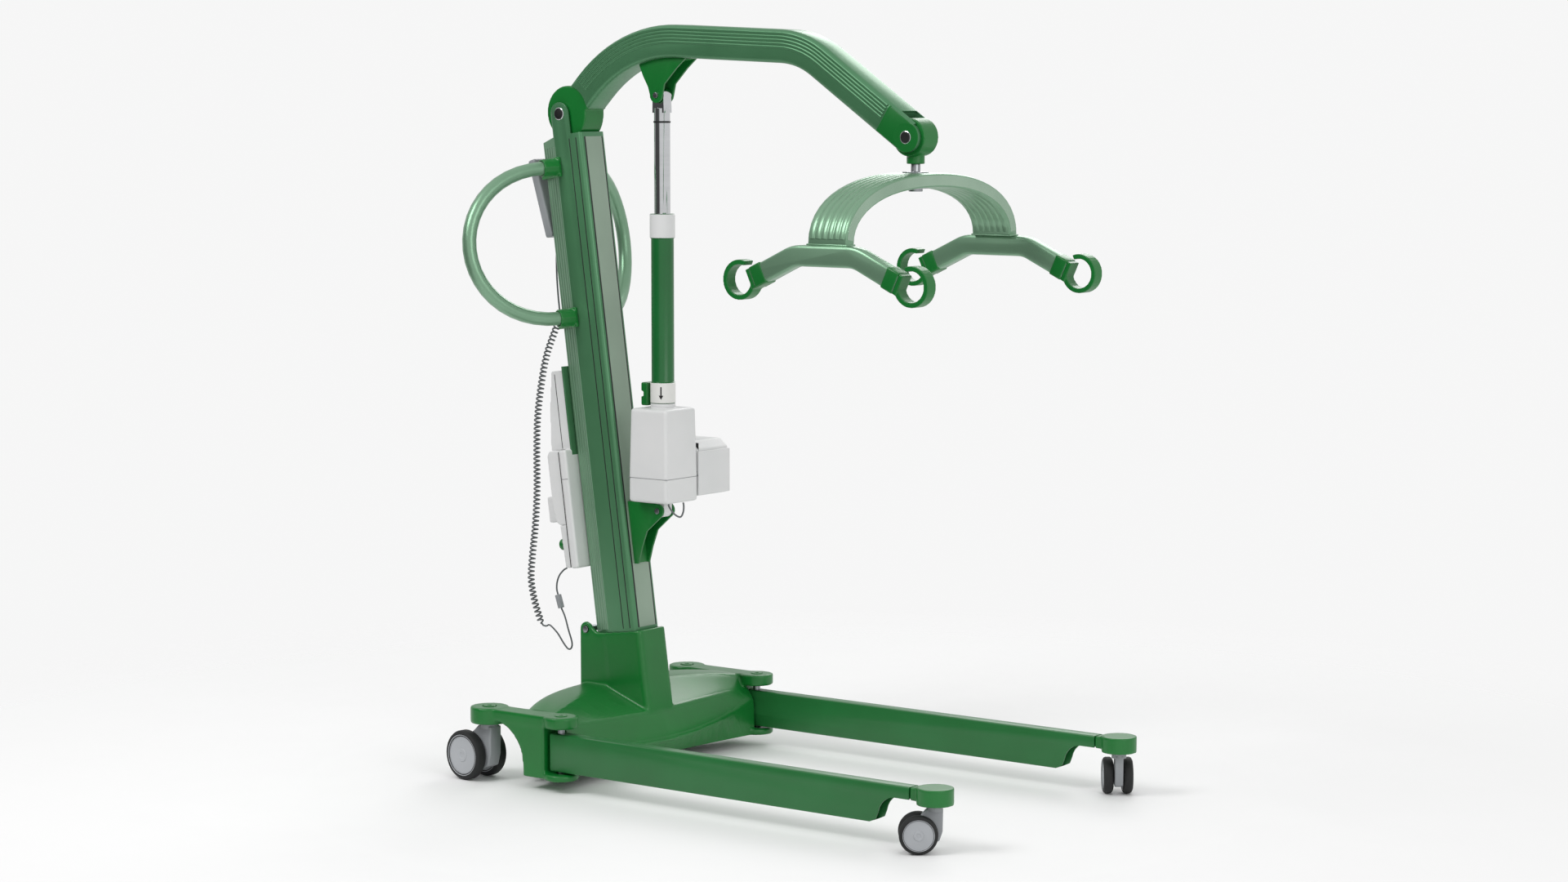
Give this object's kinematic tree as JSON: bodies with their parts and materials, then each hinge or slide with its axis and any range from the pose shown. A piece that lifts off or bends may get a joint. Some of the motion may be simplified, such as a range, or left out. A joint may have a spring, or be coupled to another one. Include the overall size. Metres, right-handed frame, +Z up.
{
  "type": "patient lift hoist",
  "caption": "Mobile patient lift hoist with a leaning mast, powered lifting arm, spreader with sling hooks, spreading legs on twin-wheel casters, push handles and a hand control.",
  "frame": {"origin": "on the floor, at the middle of the footprint's bounding box", "axes": "+X forwards, along the legs towards their front casters; +Y to the hoist's left; +Z up"},
  "size_m": [1.3474, 0.7879, 1.5681],
  "materials": {
    "green_casting": "gloss green paint on castings",
    "green_profile": "satin green paint on tubes and extruded profiles",
    "light_grey_housing": "satin light grey moulding",
    "mid_grey_plastic": "satin mid grey moulding",
    "black_plastic": "matt black",
    "black_tyre": "matt black with a light grey disc cover",
    "chromed_steel": "mirror chrome",
    "zinc_steel": "zinc plated",
    "grey_cord": "satin dark grey"
  },
  "bodies": {
    "frame": {"base_casting": "green_casting", "leg_pin_left": "zinc_steel", "leg_pin_right": "zinc_steel", "leg_drive_motor": "black_plastic", "mast": "green_profile", "mast_cross_bolt": "zinc_steel", "actuator_lower_bracket": "green_profile", "actuator_lower_pin": "zinc_steel", "handle_left": "green_profile", "handle_right": "green_profile", "handle_clamp_upper": "green_casting", "handle_clamp_lower": "green_casting", "handset_hook": "green_casting", "control_box": "light_grey_housing", "arm_pivot_pin": "zinc_steel", "actuator_housing": "light_grey_housing", "actuator_motor": "light_grey_housing", "actuator_tube": "green_profile", "motor_cable": "grey_cord", "handset_lead": "grey_cord", "coiled_cord": "grey_cord", "return_lead": "grey_cord", "cord_connector": "mid_grey_plastic", "box_lead": "grey_cord"},
    "leg_left_body": {"leg_left": "green_profile", "leg_nose_left": "green_casting"},
    "leg_right_body": {"leg_right": "green_profile", "leg_nose_right": "green_casting"},
    "leg_drive_crosshead": {"leg_drive_rod": "zinc_steel"},
    "arm_body": {"arm": "green_profile", "arm_knuckle": "green_casting", "arm_gusset": "green_profile", "rod_pin": "zinc_steel", "hub_pin": "zinc_steel"},
    "actuator_piston": {"actuator_rod": "chromed_steel"},
    "hanger": {"swivel_hub": "green_casting"},
    "spreader": {"spreader_arch": "green_profile", "spreader_bar_left": "green_profile", "spreader_bar_right": "green_profile", "spreader_hook_front_left": "green_casting", "spreader_hook_front_right": "green_casting", "spreader_hook_rear_left": "green_casting", "spreader_hook_rear_right": "green_casting", "swivel_bolt": "zinc_steel"},
    "battery": {"battery_pack": "light_grey_housing"},
    "stop_knob": {"stop_button": "green_casting"},
    "handset_body": {"handset": "mid_grey_plastic"},
    "key_up": {"handset_button_up": "black_plastic"},
    "key_down": {"handset_button_down": "black_plastic"},
    "release_slider": {"lowering_release": "green_casting"},
    "front_left_swivel_body": {"front_left_fork": "mid_grey_plastic"},
    "front_left_wheel_body": {"front_left_wheels": "black_tyre"},
    "rear_left_swivel_body": {"rear_left_fork": "mid_grey_plastic"},
    "rear_left_wheel_body": {"rear_left_wheels": "black_tyre"},
    "brake_left_body": {"brake_pedal_left": "black_plastic"},
    "front_right_swivel_body": {"front_right_fork": "mid_grey_plastic"},
    "front_right_wheel_body": {"front_right_wheels": "black_tyre"},
    "rear_right_swivel_body": {"rear_right_fork": "mid_grey_plastic"},
    "rear_right_wheel_body": {"rear_right_wheels": "black_tyre"},
    "brake_right_body": {"brake_pedal_right": "black_plastic"}
  },
  "joints": [
    {"name": "leg_spread_left", "type": "hinge", "parent": "frame", "child": "leg_left_body", "pos_m": [-0.3135, 0.327, 0.082], "axis": [0, 0, 1], "range_deg": [0, 14]},
    {"name": "leg_spread_right", "type": "hinge", "parent": "frame", "child": "leg_right_body", "pos_m": [-0.3135, -0.327, 0.082], "axis": [0, 0, -1], "range_deg": [0, 14]},
    {"name": "leg_drive_stroke", "type": "slide", "parent": "frame", "child": "leg_drive_crosshead", "axis": [1, 0, 0], "range_m": [0, 0.0145]},
    {"name": "front_left_caster_swivel", "type": "hinge", "parent": "leg_left_body", "child": "front_left_swivel_body", "pos_m": [0.6215, 0.327, 0.1], "axis": [0, 0, 1], "continuous": true},
    {"name": "front_left_wheel_spin", "type": "hinge", "parent": "front_left_swivel_body", "child": "front_left_wheel_body", "pos_m": [0.60206, 0.35242, 0.0375], "axis": [-0.7944, -0.6074, 0], "continuous": true},
    {"name": "rear_left_caster_swivel", "type": "hinge", "parent": "frame", "child": "rear_left_swivel_body", "pos_m": [-0.5105, 0.327, 0.1], "axis": [0, 0, 1], "continuous": true},
    {"name": "rear_left_wheel_spin", "type": "hinge", "parent": "rear_left_swivel_body", "child": "rear_left_wheel_body", "pos_m": [-0.55044, 0.34154, 0.052], "axis": [-0.342, -0.9397, 0], "continuous": true},
    {"name": "brake_press_left", "type": "hinge", "parent": "rear_left_swivel_body", "child": "brake_left_body", "pos_m": [-0.5744, 0.35026, 0.052], "axis": [-0.342, -0.9397, 0], "range_deg": [0, 10]},
    {"name": "front_right_caster_swivel", "type": "hinge", "parent": "leg_right_body", "child": "front_right_swivel_body", "pos_m": [0.6215, -0.327, 0.1], "axis": [0, 0, 1], "continuous": true},
    {"name": "front_right_wheel_spin", "type": "hinge", "parent": "front_right_swivel_body", "child": "front_right_wheel_body", "pos_m": [0.59608, -0.34644, 0.0375], "axis": [0.6074, -0.7944, 0], "continuous": true},
    {"name": "rear_right_caster_swivel", "type": "hinge", "parent": "frame", "child": "rear_right_swivel_body", "pos_m": [-0.5105, -0.327, 0.1], "axis": [0, 0, 1], "continuous": true},
    {"name": "rear_right_wheel_spin", "type": "hinge", "parent": "rear_right_swivel_body", "child": "rear_right_wheel_body", "pos_m": [-0.55277, -0.32256, 0.052], "axis": [-0.1045, -0.9945, 0], "continuous": true},
    {"name": "brake_press_right", "type": "hinge", "parent": "rear_right_swivel_body", "child": "brake_right_body", "pos_m": [-0.57813, -0.31989, 0.052], "axis": [-0.1045, -0.9945, 0], "range_deg": [0, 10]},
    {"name": "arm_lift", "type": "hinge", "parent": "frame", "child": "arm_body", "pos_m": [-0.55932, 0, 1.38265], "axis": [0, -1, 0], "range_deg": [-35, 12]},
    {"name": "actuator_extend", "type": "slide", "parent": "frame", "child": "actuator_piston", "axis": [0, 0, 1], "range_m": [-0.1535, 0.053]},
    {"name": "hanger_tilt", "type": "hinge", "parent": "arm_body", "child": "hanger", "pos_m": [0.3397, 0, 1.3418], "axis": [0, 1, 0], "range_deg": [-40, 40]},
    {"name": "spreader_swivel", "type": "hinge", "parent": "hanger", "child": "spreader", "pos_m": [0.3397, 0, 1.28], "axis": [0, 0, 1], "continuous": true},
    {"name": "battery_release", "type": "slide", "parent": "frame", "child": "battery", "axis": [-0.9905, 0, -0.1374], "range_m": [0, 0.038]},
    {"name": "stop_press", "type": "slide", "parent": "frame", "child": "stop_knob", "axis": [0.9905, 0, 0.1374], "range_m": [0, 0.005]},
    {"name": "handset_lift_off", "type": "slide", "parent": "frame", "child": "handset_body", "axis": [-0.2924, 0, 0.9563], "range_m": [0, 0.06]},
    {"name": "key_up_press", "type": "slide", "parent": "handset_body", "child": "key_up", "axis": [0.9563, 0, 0.2924], "range_m": [0, 0.0012], "stiffness_N_per_m": 300},
    {"name": "key_down_press", "type": "slide", "parent": "handset_body", "child": "key_down", "axis": [0.9563, 0, 0.2924], "range_m": [0, 0.0012], "stiffness_N_per_m": 300},
    {"name": "lowering_release_lift", "type": "slide", "parent": "frame", "child": "release_slider", "axis": [0, 0, 1], "range_m": [0, 0.01], "stiffness_N_per_m": 400}
  ],
  "couplings": [
    {"joint": "leg_spread_right", "follows": "leg_spread_left", "ratio": 1},
    {"joint": "leg_drive_stroke", "follows": "leg_spread_left", "m_per_rad": 0.0586},
    {"joint": "actuator_extend", "follows": "arm_lift", "m_per_rad": 0.2485}
  ]
}
